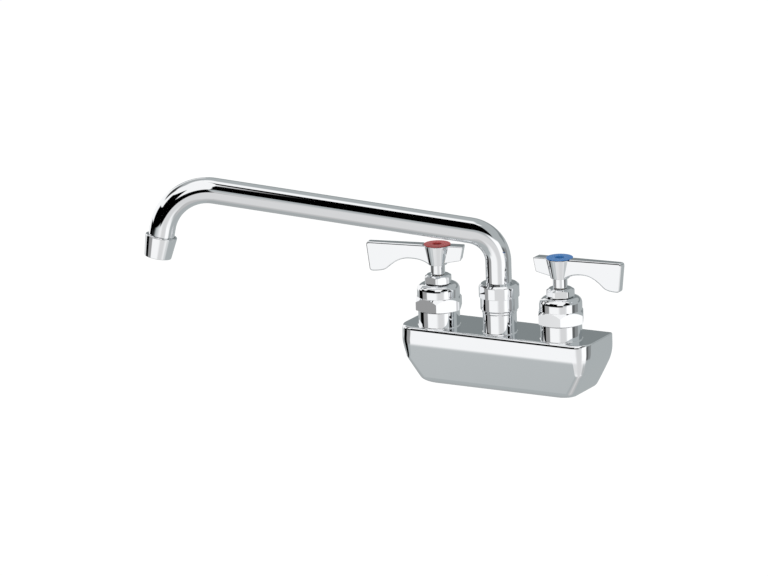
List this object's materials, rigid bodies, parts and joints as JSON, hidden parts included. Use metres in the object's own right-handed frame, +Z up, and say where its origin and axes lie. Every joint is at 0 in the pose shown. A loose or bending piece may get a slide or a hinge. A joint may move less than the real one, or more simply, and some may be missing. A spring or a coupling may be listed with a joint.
{
  "type": "commercial wall faucet",
  "caption": "Wall-mounted kitchen faucet with a swinging tube spout, lever handles on hot and cold valves, and threaded inlet shanks.",
  "frame": {"origin": "centre of the wall face, at the height of the two inlets", "axes": "+Z up, +Y into the wall, +X to the right as one faces the wall"},
  "size_m": [0.3198, 0.1983, 0.171],
  "materials": {
    "chrome_plate": "polished chrome plate",
    "brass": "machined brass",
    "stainless_steel": "turned stainless steel",
    "black_rubber": "moulded rubber",
    "ceramic": "lapped white ceramic",
    "white_packing": "pressed white packing",
    "grey_plastic": "moulded plastic",
    "index_red": "moulded plastic, red",
    "index_blue": "moulded plastic, blue"
  },
  "bodies": {
    "faucet": {"faucet_body": "chrome_plate", "spout_nut": "chrome_plate", "spout_slip_ring": "white_packing", "hot_bonnet": "chrome_plate", "hot_packing_nut": "chrome_plate", "hot_packing_ring": "white_packing", "hot_cartridge_shell": "brass", "hot_fixed_disc": "ceramic", "hot_seat_seal": "black_rubber", "hot_inlet_shank": "brass", "hot_shank_seal_washer": "black_rubber", "hot_shank_plate_washer": "stainless_steel", "hot_shank_nut": "brass", "cold_bonnet": "chrome_plate", "cold_packing_nut": "chrome_plate", "cold_packing_ring": "white_packing", "cold_cartridge_shell": "brass", "cold_fixed_disc": "ceramic", "cold_seat_seal": "black_rubber", "cold_inlet_shank": "brass", "cold_shank_seal_washer": "black_rubber", "cold_shank_plate_washer": "stainless_steel", "cold_shank_nut": "brass"},
    "hot_handle": {"hot_lever": "chrome_plate", "hot_index_ring": "index_red", "hot_lever_screw": "stainless_steel", "hot_stem": "brass", "hot_stem_o_ring": "black_rubber", "hot_moving_disc": "ceramic"},
    "cold_handle": {"cold_lever": "chrome_plate", "cold_index_ring": "index_blue", "cold_lever_screw": "stainless_steel", "cold_stem": "brass", "cold_stem_o_ring": "black_rubber", "cold_moving_disc": "ceramic"},
    "spout": {"spout_tube": "chrome_plate", "spout_swivel_sleeve": "brass", "spout_o_ring_lower": "black_rubber", "spout_o_ring_upper": "black_rubber", "aerator_housing": "chrome_plate", "aerator_insert": "grey_plastic", "aerator_screen": "stainless_steel", "aerator_washer": "black_rubber"}
  },
  "joints": [
    {"name": "spout_swivel", "type": "hinge", "parent": "faucet", "child": "spout", "pos_m": [0, -0.029, 0.028], "axis": [0, 0, 1], "range_deg": [-34, 146]},
    {"name": "hot_turn", "type": "hinge", "parent": "faucet", "child": "hot_handle", "pos_m": [-0.0508, -0.029, 0.028], "axis": [0, 0, 1], "range_deg": [-18, 72]},
    {"name": "cold_turn", "type": "hinge", "parent": "faucet", "child": "cold_handle", "pos_m": [0.0508, -0.029, 0.028], "axis": [0, 0, 1], "range_deg": [-88, 2]}
  ]
}
